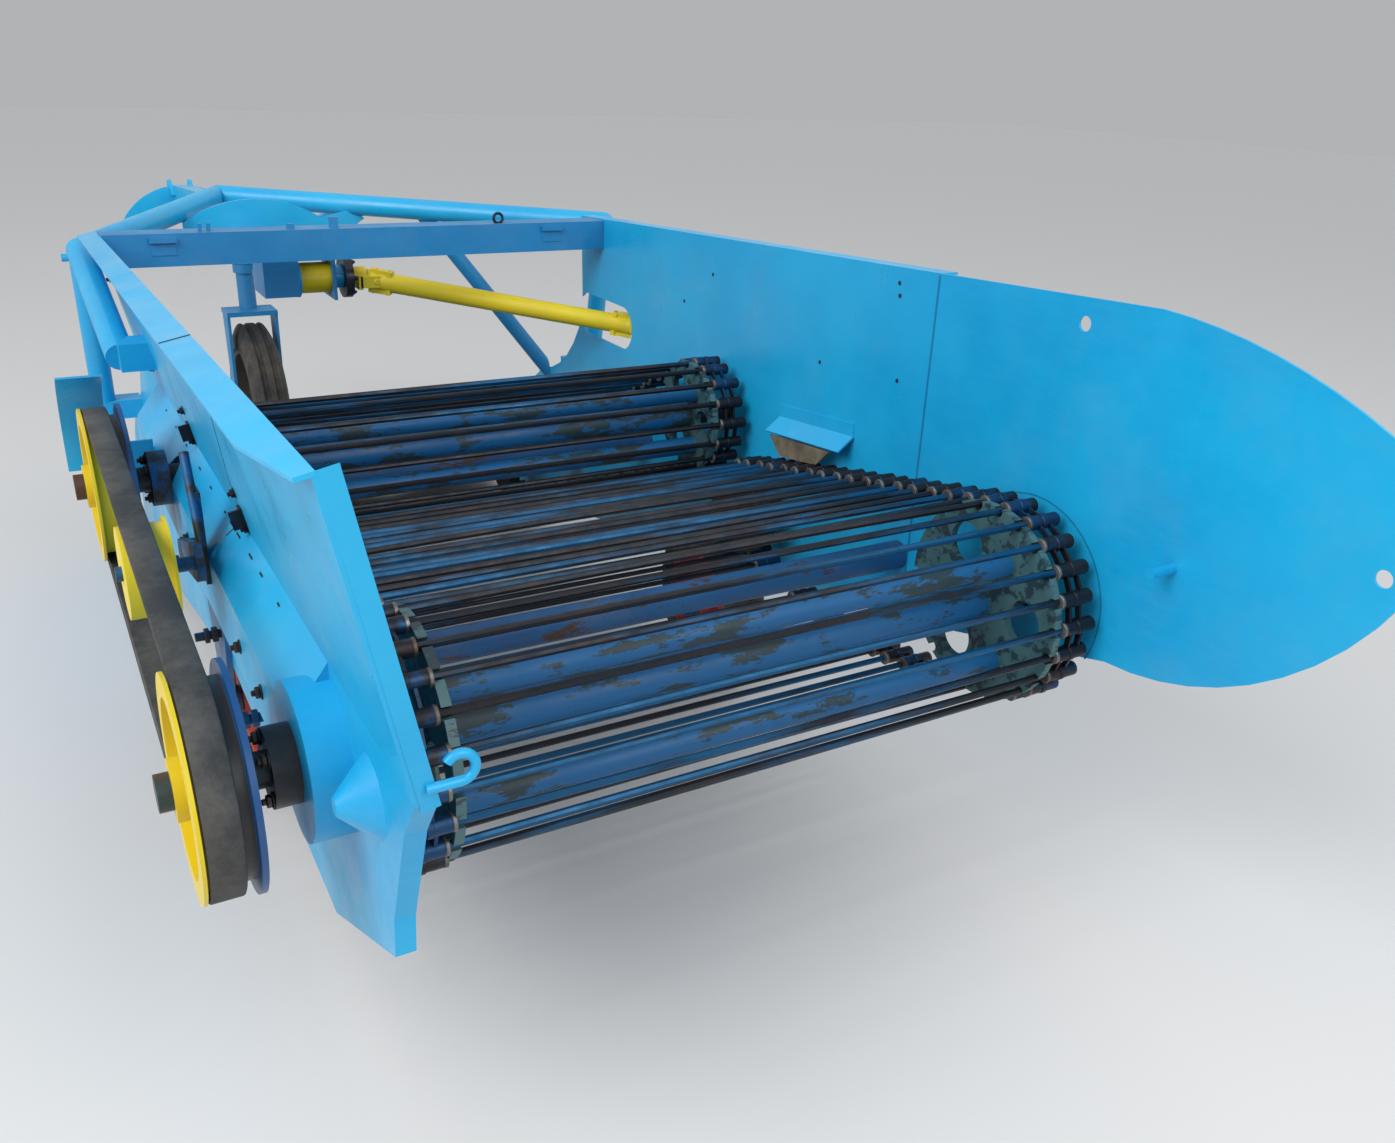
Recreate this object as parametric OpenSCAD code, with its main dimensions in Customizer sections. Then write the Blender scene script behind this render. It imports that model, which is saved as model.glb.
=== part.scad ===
/* [Bed] */
// Inside width between the two side sheets
bed_w = 1250; // [1200:10:1300]
// Thickness of the side sheets
sheet_t = 5; // [3:1:8]
// Height of the side sheets' top edge above the ground, at the front
top_z = 1070; // [1060:1:1085]
// Rise of the top edge towards the rear, in degrees
top_rise = 3; // [2.5:0.1:3.5]
// Width of the lips along the sheets' top edges
lip_w = 38; // [28:1:46]
// Width of the lip along the left sheet's rear edge
rear_lip_w = 22; // [16:1:30]
// Forward edge of the side sheets' tall part
sheet_front_x = 1935; // [1915:1:1955]
// Forward end of the side sheets' low nose
nose_x = 2520; // [2505:1:2540]
// Where the right rear lobe is bolted on
seam_x = 330; // [300:1:360]
// Height at which the left sheet is folded outwards
fold_z = 770; // [760:1:780]
// Outward lean of the left sheet above its fold, in degrees
fold_lean = 12; // [9:0.5:13]
// How far the side rails stand out from the sheets
rail_out = 55; // [45:1:60]
// Forward end of the side rails
rail_front_x = 1560; // [1540:1:1580]

/* [Webs] */
// Pitch of the web rods
rod_pitch = 50; // [48:0.5:52]
// Diameter of the web rods
rod_d = 12; // [10:0.5:14]
// Width of the link straps at the rods' ends
strap_w = 22; // [16:1:30]
// Thickness of the link straps
strap_t = 16; // [14:1:20]
// Gap from the straps to the side sheets
strap_gap = 18; // [12:1:30]
// Number of rod seats round the rear drum's star wheels
rear_teeth = 22; // [21:1:22]
// Height of the rear drum's axis
rear_drum_z = 635; // [628:1:640]
// Distance from the rear drum's axis to the front drum's axis
drum_span = 1075; // [1060:1:1090]
// Height of the front drum's axis
front_drum_z = 695; // [688:1:700]
// Number of rod seats round the front drum's star wheels
front_teeth = 16; // [15:1:16]
// Rod circle's radius on the rear web's front roller
tail_roller_r = 108; // [100:1:112]
// Distance from the rear drum's axis to that roller's axis
tail_roller_x = 812; // [805:1:820]
// Height of that roller's axis
tail_roller_z = 532; // [528:1:540]
// How far the rear web's lower run hangs down
slack = 60; // [40:1:70]
// Rod circle's radius on the digging web's lower roller
nose_roller_r = 80; // [74:1:86]
// Distance from the rear drum's axis to the lower roller's axis
nose_roller_x = 2330; // [2310:1:2345]
// Height of the lower roller's axis
nose_roller_z = 165; // [158:1:180]
// Diameter of the drums' and rollers' shafts
shaft_d = 50; // [40:1:56]
// Diameter of the tubes round the drums' shafts
drum_tube_d = 60; // [58:1:70]
// Diameter of the tie tubes between the star wheels
tie_d = 42; // [34:1:46]
// Width of each star wheel
star_w = 14; // [10:1:20]

/* [Belt drive] */
// Diameter of the two belt pulleys
pulley_d = 300; // [280:1:310]
// Width of the belt
belt_w = 44; // [36:1:50]
// Thickness of the belt
belt_t = 16; // [10:1:20]
// Distance from the side sheet to the belt
belt_off = 150; // [145:1:165]
// Diameter of the tension roller
tension_d = 150; // [130:1:160]
// Distance from the rear drum's axis to the tension roller
tension_x = 525; // [500:1:560]

/* [Headstock] */
// Sideways offset of the hitch from the bed's middle
hitch_y = 270; // [262:1:280]
// Distance from the rear drum's axis to the hitch bow
bow_x = 3495; // [3450:1:3540]
// Diameter of the frame tubes
tube_d = 62; // [54:1:66]
// Distance from the rear drum's axis to the point where the two tubes meet
apex_x = 2695; // [2670:1:2720]
// Height of that point
apex_z = 1062; // [1052:1:1072]
// Distance between the shoulders of the lower hitch pins
lower_span = 683; // [600:1:720]
// Height of the lower hitch pins
lower_z = 770; // [762:1:780]
// Diameter of the lower hitch pins
lower_pin_d = 28; // [22:1:32]
// Free length of the lower hitch pins
lower_pin_len = 90; // [70:1:110]
// Height of the top link hole
top_link_z = 1000; // [995:1:1008]
// Diameter of the top link hole
top_link_d = 25.5; // [19:0.5:27]
// Gap between the top link ears
ear_gap = 58; // [50:1:64]

/* [Drive] */
// Distance from the rear drum's axis to the gearbox
gear_x = 2060; // [2040:1:2070]
// Height of the gearbox shafts
gear_z = 905; // [900:1:912]
// Diameter of the input shaft's stub
input_d = 34.9; // [30:0.1:38]
// Diameter of the cross drive shaft's tube
drive_d = 54; // [46:1:58]

/* [Wheels] */
// Diameter of the two carrying wheels
wheel_d = 430; // [420:1:436]
// Width of the carrying tyres
wheel_w = 100; // [90:1:106]
// Diameter of the carrying wheels' rims
wheel_rim_d = 290; // [270:1:300]
// Distance from the rear drum's axis to the axle
axle_x = 985; // [975:1:1000]
// Diameter of the axle
axle_d = 40; // [34:1:46]
// Diameter of the gauge wheel
gauge_d = 580; // [560:1:590]
// Width of the gauge tyre
gauge_w = 120; // [100:1:126]
// Diameter of the gauge wheel's rim
gauge_rim_d = 400; // [380:1:410]
// Diameter of the gauge wheel's axle
gauge_axle_d = 30; // [24:1:36]
// Distance from the rear drum's axis to the gauge wheel's post
post_x = 3095; // [3075:1:3115]
// Sideways place of the gauge wheel's post
post_y = 150; // [140:1:155]
// Diameter of the gauge wheel's post
post_d = 60; // [54:1:64]
// Distance that the gauge wheel trails behind its post
trail = 40; // [30:1:50]

/* [Hidden] */

blue = [0.10, 0.45, 0.80];
deep_blue = [0.08, 0.30, 0.55];
yellow = [0.90, 0.78, 0.10];
steel = [0.22, 0.21, 0.22];
rubber = [0.10, 0.10, 0.11];
sand = [0.62, 0.54, 0.42];
red = [0.75, 0.10, 0.08];

half = bed_w / 2;
outer = half + sheet_t;
// Radial running clearance of shafts in their bores
fit = 0.08;
// Gap left between parts that run close to each other
gap = 2;

// Points on the arc from a to b that passes through m
function through(a, m, b, n) = let (
    d = 2 * (a[0] * (m[1] - b[1]) + m[0] * (b[1] - a[1]) + b[0] * (a[1] - m[1])),
    sa = a * a, sm = m * m, sb = b * b,
    cx = (sa * (m[1] - b[1]) + sm * (b[1] - a[1]) + sb * (a[1] - m[1])) / d,
    cy = (sa * (b[0] - m[0]) + sm * (a[0] - b[0]) + sb * (m[0] - a[0])) / d,
    r = norm(a - [cx, cy]),
    t0 = atan2(a[1] - cy, a[0] - cx),
    turn = function (q) q - 360 * floor(q / 360),
    tm = turn(atan2(m[1] - cy, m[0] - cx) - t0),
    t1 = turn(atan2(b[1] - cy, b[0] - cx) - t0),
    sweep = tm < t1 ? t1 : t1 - 360)
    [for (i = [0:n]) [cx + r * cos(t0 + sweep * i / n), cy + r * sin(t0 + sweep * i / n)]];

function top_at(x) = top_z + (sheet_front_x - x) * tan(top_rise);

// The lobe's outline is three arcs: over the drum, round the rear tip and back under the drum
lobe_rise = [-184, top_at(-184)];
lobe_back = [-578, 1086];
lobe_low = [-650, 880];
lobe_end = [-200, 580];
lobe_tip = through(lobe_back, [-656, 1000], lobe_low, 8);
lobe_line = concat([[seam_x, top_at(seam_x)]], through(lobe_rise, [-400, 1150], lobe_back, 8),
    lobe_tip, through(lobe_low, [-500, 690], lobe_end, 10), [[seam_x, 430]]);

// The chain case stands this far out from the right sheet's plane, at its inner and outer faces
case_in = 120;

// The datum lies on the ground under the middle of the overall box.
ear_reach = 60;
mid_x = (bow_x + ear_reach + min([for (p = lobe_tip) p[0]])) / 2;
left_reach = half + 228;
case_out = 160;
mid_y = (left_reach - half - case_out) / 2;
module at_datum() { translate([-mid_x, -mid_y, 0]) children(); }

// A round bar from one point to another
module bar(p, q, d, fn = 32) {
    v = q - p;
    translate(p) rotate([0, acos(v[2] / norm(v)), atan2(v[1], v[0])]) cylinder(d = d, h = norm(v), $fn = fn);
}

// A plate in the plane of the side sheets, from an outline of x and z, between two sideways places
module side_plate(y0, y1) { translate([0, y1, 0]) rotate([90, 0, 0]) linear_extrude(y1 - y0) children(); }

// A plate across the machine, from an outline of y and z, between two places along it
module cross_plate(x0, x1) { translate([x0, 0, 0]) rotate([90, 0, 90]) linear_extrude(x1 - x0) children(); }

// A round bar across the machine
module cross_bar(x, z, y0, y1, d, fn = 32) {
    translate([x, y0, z]) rotate([-90, 0, 0]) cylinder(d = d, h = y1 - y0, $fn = fn);
}

// Turns what it holds with the left sheet's upper board
module leaning() { translate([0, half, fold_z]) rotate([-fold_lean, 0, 0]) translate([0, -half, -fold_z]) children(); }

// Side sheets: x and z of the shared front and lower outline
front_line = concat([[seam_x, 430], [900, 330], [1500, 215], [2300, 45], [nose_x, 45], [nose_x, 250]],
    through([2440, 400], [2350, 470], [2265, 526], 3), through([2230, 545], [2030, 640], [sheet_front_x - 10, 790], 6));

module shaft_hole(x, z) { translate([x, z]) circle(d = shaft_d + 16, $fn = 48); }

// The left sheet's rear edge runs from the top corner to the fold and on to the low tail
left_corner = [-405, 1174];
left_back = [-362, fold_z];
left_tail = [[-311, 700], [-240, 530], [-232, 468], [104, 292]];
module left_sheet() {
    color(blue) at_datum() {
        // Lower sheet, up to the fold
        side_plate(half, outer) difference() {
            polygon(concat([left_back], left_tail,
                [for (p = front_line) if (p[0] > seam_x) p], [[sheet_front_x - 10, fold_z]]));
            shaft_hole(0, rear_drum_z);
            shaft_hole(drum_span, front_drum_z);
        }
        leaning() {
            // Upper board, which leans outwards
            side_plate(half, outer) polygon([left_back - [0, 3], left_corner, [sheet_front_x, top_z],
                [sheet_front_x - 10, fold_z - 3]]);
            // Top lip, folded outwards, narrower at its rear end
            difference() {
                side_plate(half, outer + lip_w) polygon([left_corner, [sheet_front_x, top_z],
                    [sheet_front_x, top_z - sheet_t], left_corner - [0, sheet_t]]);
                translate([left_corner[0], outer, left_corner[1] - 40]) linear_extrude(60)
                    polygon([[-16, lip_w * 0.34], [176, lip_w * 1.06], [-16, lip_w * 1.06]]);
            }
            // Rear lip, folded inwards
            side_plate(half - rear_lip_w, half) polygon([left_corner, left_corner + [sheet_t, -8],
                left_back + [sheet_t, -12], left_back - [0, 12]]);
        }
        side_plate(half - rear_lip_w, half) polygon([left_back, left_back + [sheet_t, 0],
            left_tail[0] + [sheet_t, 2], left_tail[1] + [sheet_t, 2], left_tail[2] + [sheet_t, 3],
            left_tail[2], left_tail[1], left_tail[0]]);
        // Pressed cone behind the rear bearing
        translate([-180, outer - 0.5, 672]) rotate([-90, 0, 0]) cylinder(d1 = 112, d2 = 24, h = 46, $fn = 40);
    }
}

hole_x = 1770;
hole_z = 790;
module right_sheet() {
    color(blue) at_datum() {
        side_plate(-outer, -half) difference() {
            polygon(concat([[seam_x, top_at(seam_x)]], front_line, [[sheet_front_x, top_z]]));
            shaft_hole(drum_span, front_drum_z);
            // Long hole that the drive shaft passes through
            translate([hole_x, hole_z]) square([230, 120], center = true);
            for (s = [-1, 1]) translate([hole_x + s * 115, hole_z]) circle(d = 120, $fn = 48);
        }
        side_plate(-outer - lip_w, -outer) polygon([[seam_x, top_at(seam_x) - sheet_t], [seam_x, top_at(seam_x)],
            [sheet_front_x, top_z], [sheet_front_x, top_z - sheet_t]]);
    }
}

module right_lobe() {
    color(blue) at_datum() {
        side_plate(-outer, -half) difference() {
            polygon(lobe_line);
            shaft_hole(0, rear_drum_z);
            for (p = [[-35, 1130], [-615, 900]]) translate(p) circle(d = 26, $fn = 24);
        }
        // Peg that points inwards near the drum
        translate([-294, -half, 792]) rotate([-90, 0, 0]) cylinder(d = 18, h = 53, $fn = 24);
    }
}

// Folded rail that stiffens each side sheet and ends in a round housing at the rear drum
housing_d = 220;
module rail() {
    difference() {
        union() {
            cross_plate(0, rail_front_x) translate([outer, fold_z])
                polygon([[0, 0], [rail_out, -75], [rail_out, -185], [0, -215]]);
            cross_bar(0, rear_drum_z, outer, outer + rail_out, housing_d, 64);
        }
        cross_bar(0, rear_drum_z, outer - 1, outer + rail_out + 1, shaft_d + 30, 48);
        cross_bar(drum_span, front_drum_z, outer - 1, outer + rail_out + 1, shaft_d + 30, 48);
    }
}

module left_rail() { color(blue) at_datum() rail(); }
module right_rail() { color(blue) at_datum() mirror([0, 1, 0]) rail(); }

beam_x = 1780;
beam_z = 995;
module cross_beam() {
    color(deep_blue) at_datum() difference() {
        translate([beam_x, -half, beam_z]) cube([80, bed_w + 80, 78]);
        translate([beam_x + 6, -half - 1, beam_z + 6]) cube([80, bed_w + 90, 66]);
        // Its left end follows the leaning board
        leaning() translate([beam_x - 10, half, fold_z]) cube([120, 200, 500]);
    }
}

// Tubes that tie the side sheets together inside the two web loops
bed_tube_table = [[360, 570, 60], [1480, 500, 60], [1950, 310, 60]];
module bed_tubes() {
    color(deep_blue) at_datum() for (row = bed_tube_table) let (x = row[0], z = row[1], d = row[2])
        cross_bar(x, z, -half, half, d);
}

// A loop round two rollers. Each roller is [x, z, radius]; s runs from the first roller's upper tangent point.
function loop_turn(a, b) = asin((a[2] - b[2]) / norm([b[0] - a[0], b[1] - a[1]]));
function loop_run(a, b) = norm([b[0] - a[0], b[1] - a[1]]) * cos(loop_turn(a, b));
function loop_up(a, b) = atan2(b[1] - a[1], b[0] - a[0]) + 90 - loop_turn(a, b);
function loop_len(a, b) = 2 * loop_run(a, b) + a[2] * PI * (1 + loop_turn(a, b) / 90) + b[2] * PI * (1 - loop_turn(a, b) / 90);
function on_roller(r, q, out) = [r[0] + (r[2] + out) * cos(q), r[1] + (r[2] + out) * sin(q)];

// Place on the loop at s, moved outwards by out; the lower run hangs down by sag
function loop_at(a, b, s, out = 0, sag = 0) = let (
    run = loop_run(a, b), w = loop_turn(a, b), up = loop_up(a, b), down = up - 180 + 2 * w,
    front = b[2] * PI * (1 - w / 90),
    u = (s - run - front) / run,
    hang = out + 4 * sag * u * (1 - u))
    s < run ? on_roller(a, up, out) + s * [sin(up), -cos(up)] :
    s < run + front ? on_roller(b, up - (s - run) / b[2] * 180 / PI, out) :
    s < 2 * run + front ? on_roller(b, down, hang) + u * run * [sin(down), -cos(down)] :
    on_roller(a, down - (s - 2 * run - front) / a[2] * 180 / PI, out);

module loop_band(a, b, y0, y1, t, n, sag = 0) {
    len = loop_len(a, b);
    side_plate(y0, y1) difference() {
        polygon([for (i = [0:n - 1]) loop_at(a, b, len * i / n, t / 2, sag)]);
        polygon([for (i = [0:n - 1]) loop_at(a, b, len * i / n, -t / 2, sag)]);
    }
}

// Rod web: bars at an even pitch, joined by a link strap at each end
module web(a, b, sag) {
    n = round(loop_len(a, b) / rod_pitch);
    y1 = half - strap_gap;
    for (s = [0, 1]) mirror([0, s, 0]) loop_band(a, b, y1 - strap_w, y1, strap_t, n, sag);
    for (i = [0:n - 1]) let (p = loop_at(a, b, loop_len(a, b) * i / n, 0, sag))
        cross_bar(p[0], p[1], -y1 + 6, y1 - 6, rod_d, 6);
}

rear_roll = [0, rear_drum_z, rear_teeth * rod_pitch / 2 / PI];
tail_roll = [tail_roller_x, tail_roller_z, tail_roller_r];
front_roll = [drum_span, front_drum_z, front_teeth * rod_pitch / 2 / PI];
nose_roll = [nose_roller_x, nose_roller_z, nose_roller_r];

module rear_web() { color(steel) at_datum() web(rear_roll, tail_roll, slack); }
module digging_web() { color(steel) at_datum() web(front_roll, nose_roll, 0); }

star_y = half - 105;
// Star wheel whose round seats carry the rods; its first seat is at the upper tangent point
module star(roll, next, teeth) {
    up = loop_up(roll, next);
    difference() {
        circle(r = roll[2] + rod_d / 2, $fn = 72);
        for (k = [0:teeth - 1]) rotate(up + k * 360 / teeth) translate([roll[2], 0]) circle(d = rod_d + 8, $fn = 24);
        for (k = [0:2]) rotate(60 + k * 120) translate([roll[2] * 0.60, 0]) circle(d = roll[2] * 0.46, $fn = 32);
    }
}

module drum(roll, next, teeth, y0, y1) {
    cross_bar(roll[0], roll[1], y0, y1, shaft_d);
    cross_bar(roll[0], roll[1], -star_y, star_y, drum_tube_d);
    // Three tie tubes join the star wheels
    for (k = [0:2]) cross_bar(roll[0] + roll[2] * 0.6 * cos(k * 120), roll[1] + roll[2] * 0.6 * sin(k * 120),
        -star_y, star_y, tie_d);
    for (y = [-star_y, star_y]) side_plate(y - star_w / 2, y + star_w / 2) translate([roll[0], roll[1]]) star(roll, next, teeth);
}

bearing_w = 35;
module rear_drum() {
    color(deep_blue) at_datum() drum(rear_roll, tail_roll, rear_teeth, -outer - rail_out - bearing_w - 5, left_reach);
}
module front_drum() {
    color(deep_blue) at_datum() drum(front_roll, nose_roll, front_teeth, -half - case_in, left_reach);
}

// Plain roller with a flat running disc under each strap of rods
module plain_roller(roll) {
    cross_bar(roll[0], roll[1], -half, half, shaft_d - 10);
    for (y = [-star_y, star_y]) cross_bar(roll[0], roll[1], y - 20, y + 20, 2 * (roll[2] - rod_d / 2 - 1), 48);
}

module tail_roller() { color(steel) at_datum() plain_roller(tail_roll); }
module nose_roller() { color(steel) at_datum() plain_roller(nose_roll); }

// Digging share: three pointed blades on a sloped carrier between the sheets
share_tip_x = 2775;
module share() {
    color(steel) at_datum() {
        side_plate(-half, half) polygon([[nose_x - 20, 108], [share_tip_x - 75, 24], [share_tip_x - 75, 34], [nose_x - 20, 122]]);
        for (i = [-1:1]) translate([share_tip_x - 75, i * bed_w / 3, 24]) linear_extrude(8)
            polygon([[-12, -bed_w / 6], [0, -bed_w / 6], [75, 0], [0, bed_w / 6], [-12, bed_w / 6]]);
    }
}

// Two bent tubes run forwards and inwards from the side sheets and meet at the apex
apex = [apex_x, hitch_y, apex_z];
bend_x = 1990;
bend_out = 100;
left_bend = [bend_x, half + bend_out, 1010];
right_bend = [bend_x, -half - bend_out, 1040];
stay_end_x = 1440;
module bent_tube(bend, side) {
    toward = (apex - bend) / norm(apex - bend);
    foot = [stay_end_x, side * (half + 85), 860];
    difference() {
        union() {
            bar(bend, apex + 60 * toward, tube_d);
            translate(bend) sphere(d = tube_d, $fn = 32);
            bar(bend, foot, tube_d);
        }
        // Mitre at the apex
        translate([apex_x - 200, side > 0 ? hitch_y - 200 : hitch_y, apex_z - 100]) cube([400, 200, 200]);
    }
    // Foot plate that bolts the tube's end to the side sheet
    difference() {
        translate([stay_end_x - 40, side > 0 ? half - 20 : -half - 90, 835]) cube([90, 110, 60]);
        if (side > 0) leaning() translate([stay_end_x - 60, half - 200 + sheet_t, fold_z - 100]) cube([200, 200, 400]);
        if (side < 0) translate([stay_end_x - 60, -outer, fold_z - 100]) cube([200, 200, 400]);
    }
}

module left_tube() { color(blue) at_datum() bent_tube(left_bend, 1); }
module right_tube() { color(blue) at_datum() bent_tube(right_bend, -1); }

module leg(bend, side) {
    foot = [bend_x + 80, side * (half + bend_out - 5), 570];
    bar(bend - [0, 0, tube_d / 2], foot, tube_d - 6);
    y0 = side > 0 ? outer : -half - bend_out + 5;
    translate([bend_x + 45, y0, 560]) cube([70, bend_out - 5 - sheet_t, 50]);
}

module left_leg() { color(blue) at_datum() leg(left_bend, 1); }
module right_leg() { color(blue) at_datum() leg(right_bend, -1); }

// Arched plate between the two tubes, behind the apex
hood_x = 2430;
module headstock_tubes() {
    bar(left_bend, apex, tube_d);
    bar(right_bend, apex, tube_d);
}

module hood_plate() {
    color(blue) at_datum() difference() {
        cross_plate(hood_x, hood_x + 10)
            polygon(concat([[hitch_y - 280, 945], [hitch_y + 150, 945]],
                through([hitch_y + 150, 1015], [hitch_y - 45, 1078], [hitch_y - 250, 1020], 12),
                [[hitch_y - 350, 1045], [hitch_y - 380, 1015]]));
        headstock_tubes();
    }
}

module brace() {
    color(blue) at_datum() difference() {
        bar([2330, -258, 1046], [2200, -half - 12, 530], 46);
        translate([2100, -half - 100, 400]) cube([300, 100, 400]);
        headstock_tubes();
    }
}

// Arch with crossbar that carries the three hitch points
arch_r = 245;
module hitch_bow() {
    pin_y = lower_span / 2;
    color(blue) at_datum() {
        cross_plate(bow_x - 8, bow_x + 8) translate([hitch_y, lower_z]) difference() {
            circle(r = arch_r, $fn = 96);
            circle(r = arch_r - 55, $fn = 96);
            translate([-arch_r - 1, -arch_r - 1]) square([2 * arch_r + 2, arch_r + 1]);
        }
        cross_bar(bow_x, lower_z, hitch_y - pin_y, hitch_y + pin_y, 60);
        cross_bar(bow_x, lower_z, hitch_y - pin_y - lower_pin_len, hitch_y - pin_y, lower_pin_d);
        cross_bar(bow_x, lower_z, hitch_y + pin_y, hitch_y + pin_y + lower_pin_len, lower_pin_d);
        // Ears of the top link
        for (s = [-1, 1]) translate([0, hitch_y + s * (ear_gap / 2 + 6), 0]) side_plate(-6, 6) difference() {
            union() {
                translate([bow_x + 28, top_link_z]) circle(r = ear_reach - 28, $fn = 48);
                polygon([[bow_x - 50, lower_z + arch_r - 30], [bow_x + 55, lower_z + arch_r - 30],
                    [bow_x + 60, top_link_z], [bow_x + 5, top_link_z + 22]]);
            }
            translate([bow_x + 28, top_link_z]) circle(d = top_link_d, $fn = 48);
        }
    }
}

// Stays from the hitch crossbar back up to the two bent tubes
module lower_stays() {
    color(blue) at_datum() difference() {
        for (row = [[1, 0.42], [-1, 0.34]]) let (s = row[0], u = row[1])
            bar([bow_x - 8, hitch_y + s * (lower_span / 2 - 40), lower_z],
                apex + u * ((s > 0 ? left_bend : right_bend) - apex), 42);
        headstock_tubes();
        cross_bar(bow_x, lower_z, hitch_y - lower_span / 2, hitch_y + lower_span / 2, 60);
    }
}

spine_z = 958;
spine_rise = 44;
module spine() {
    color(blue) at_datum() side_plate(hitch_y - ear_gap / 2, hitch_y + ear_gap / 2)
        polygon([[apex_x + 30, spine_z + spine_rise], [apex_x + 30, spine_z + spine_rise + 57],
            [bow_x - 8, spine_z + 57], [bow_x - 8, spine_z]]);
}

// Bevel gearbox that hangs on a shelf from the arched plate, with its input stub facing forwards
gear_low = 40;
gear_high = 75;
gear_y = hitch_y - 20;
clutch_y = gear_y - 54;
plate_y = clutch_y - 93;
module gearbox() {
    color(blue) at_datum() {
        translate([gear_x - 65, clutch_y, gear_z - gear_low]) cube([140, 94, gear_low + gear_high]);
        translate([gear_x - 65, clutch_y, gear_z + gear_high]) cube([hood_x - gear_x + 65, 94, 12]);
        translate([gear_x + 75, gear_y, gear_z]) rotate([0, 90, 0]) cylinder(d = 76, h = 30, $fn = 48);
        translate([gear_x + 105, gear_y, gear_z]) rotate([0, 90, 0]) cylinder(d = input_d, h = 85, $fn = 48);
        // Side plate that carries the clutch's bearing
        difference() {
            translate([gear_x - 62, plate_y - 8, gear_z - 55]) cube([124, 8, gear_high + 55]);
            translate([gear_x, plate_y + 2, gear_z]) rotate([90, 0, 0]) cylinder(d = 92, h = 12, $fn = 48);
        }
        translate([gear_x - 62, plate_y - 8, gear_z + gear_high]) cube([124, clutch_y - plate_y + 8, 12]);
    }
}

// Slip clutch on the gearbox's side shaft: cup, hub, bolted disc and yoke
module clutch() {
    color(yellow) at_datum() {
        translate([gear_x, clutch_y, gear_z]) rotate([90, 0, 0]) cylinder(d = 84, h = 101, $fn = 48);
        translate([gear_x, clutch_y - 101, gear_z]) rotate([90, 0, 0]) cylinder(d = 64, h = 30, $fn = 48);
        translate([gear_x, clutch_y - 131, gear_z]) rotate([90, 0, 0]) cylinder(d = 118, h = 22, $fn = 48);
        translate([gear_x, clutch_y - 153, gear_z]) rotate([90, 0, 0]) cylinder(d = 50, h = 44, $fn = 32);
    }
}

shaft_p = [gear_x, clutch_y - 222, gear_z - 16];
shaft_q = [1700, -half - 45, 785];
module drive_shaft() {
    color(yellow) at_datum() {
        bar([gear_x, clutch_y - 197, gear_z], shaft_p, 40);
        translate(shaft_p) sphere(d = drive_d + 4, $fn = 32);
        bar(shaft_p, shaft_q, drive_d);
        translate(shaft_q) sphere(d = drive_d + 2, $fn = 32);
        cross_bar(shaft_q[0], shaft_q[2], -half - case_in, shaft_q[1], 46);
    }
}

// Closed chain case outside the right rail, from the cross drive shaft to the front drum
module chain_case() {
    color(blue) at_datum() {
        side_plate(-half - case_out, -half - case_in) hull() {
            translate([shaft_q[0], shaft_q[2]]) circle(d = 180, $fn = 32);
            translate([drum_span, front_drum_z]) circle(d = 210, $fn = 32);
        }
        for (x = [1270, 1440]) translate([x, -half - case_in, fold_z - 170])
            cube([60, case_in - sheet_t - rail_out, 80]);
    }
}

belt_y = half + belt_off;
// Flanged pulley with a dished face and a hub
module pulley(x, z) {
    translate([x, belt_y, z]) rotate([-90, 0, 0]) difference() {
        union() {
            translate([0, 0, -16]) cylinder(d = pulley_d - 2 * belt_t - 1, h = belt_w + 18, $fn = 72);
            translate([0, 0, belt_w + 2]) cylinder(d = pulley_d, h = 5, $fn = 72);
            translate([0, 0, -24]) cylinder(d = pulley_d + 8, h = 8, $fn = 72);
        }
        translate([0, 0, 16]) cylinder(d = pulley_d - 64, h = belt_w, $fn = 72);
        translate([0, 0, -40]) cylinder(d = shaft_d + 2 * fit, h = belt_w + 60, $fn = 48);
    }
    translate([x, belt_y + 16, z]) rotate([-90, 0, 0]) difference() {
        cylinder(d = 84, h = belt_w, $fn = 48);
        translate([0, 0, -1]) cylinder(d = shaft_d + 2 * fit, h = belt_w + 2, $fn = 48);
    }
}

module front_pulley() { color(yellow) at_datum() pulley(drum_span, front_drum_z); }
module rear_pulley() { color(yellow) at_datum() pulley(0, rear_drum_z); }

belt_r = pulley_d / 2 - belt_t / 2;
belt_a = [0, rear_drum_z, belt_r];
belt_b = [drum_span, front_drum_z, belt_r];
module drive_belt() { color(rubber) at_datum() loop_band(belt_a, belt_b, belt_y, belt_y + belt_w, belt_t, 160); }

belt_slope = atan((front_drum_z - rear_drum_z) / drum_span);
tension_z = rear_drum_z + tension_x * tan(belt_slope) + (belt_r - belt_t / 2 - tension_d / 2) / cos(belt_slope);
module tension_roller() {
    color(yellow) at_datum() translate([tension_x, belt_y - 26, tension_z]) rotate([-90, 0, 0]) difference() {
        union() {
            cylinder(d = tension_d, h = belt_w + 30, $fn = 64);
            cylinder(d = tension_d + 16, h = 5, $fn = 64);
        }
        translate([0, 0, -1]) cylinder(d = 24 + 2 * fit, h = belt_w + 40, $fn = 32);
    }
}

arm_y = outer + rail_out;
module tension_arm() {
    color(deep_blue) at_datum() {
        cross_bar(tension_x, tension_z, arm_y + 18, belt_y + belt_w + 14, 24);
        side_plate(arm_y + 18, arm_y + 32) hull() {
            translate([tension_x, tension_z]) circle(d = 64, $fn = 32);
            translate([tension_x + 190, tension_z - 50]) circle(d = 44, $fn = 32);
        }
        // Pivot on the rail and the threaded rod that sets the tension
        cross_bar(tension_x + 190, tension_z - 50, arm_y, arm_y + 18, 40);
        bar([tension_x + 40, arm_y + 12, tension_z + 10], [tension_x + 120, arm_y + 12, tension_z + 150], 16);
        translate([tension_x + 75, arm_y, fold_z - 120]) cube([44, 8, 165]);
    }
}

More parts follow.
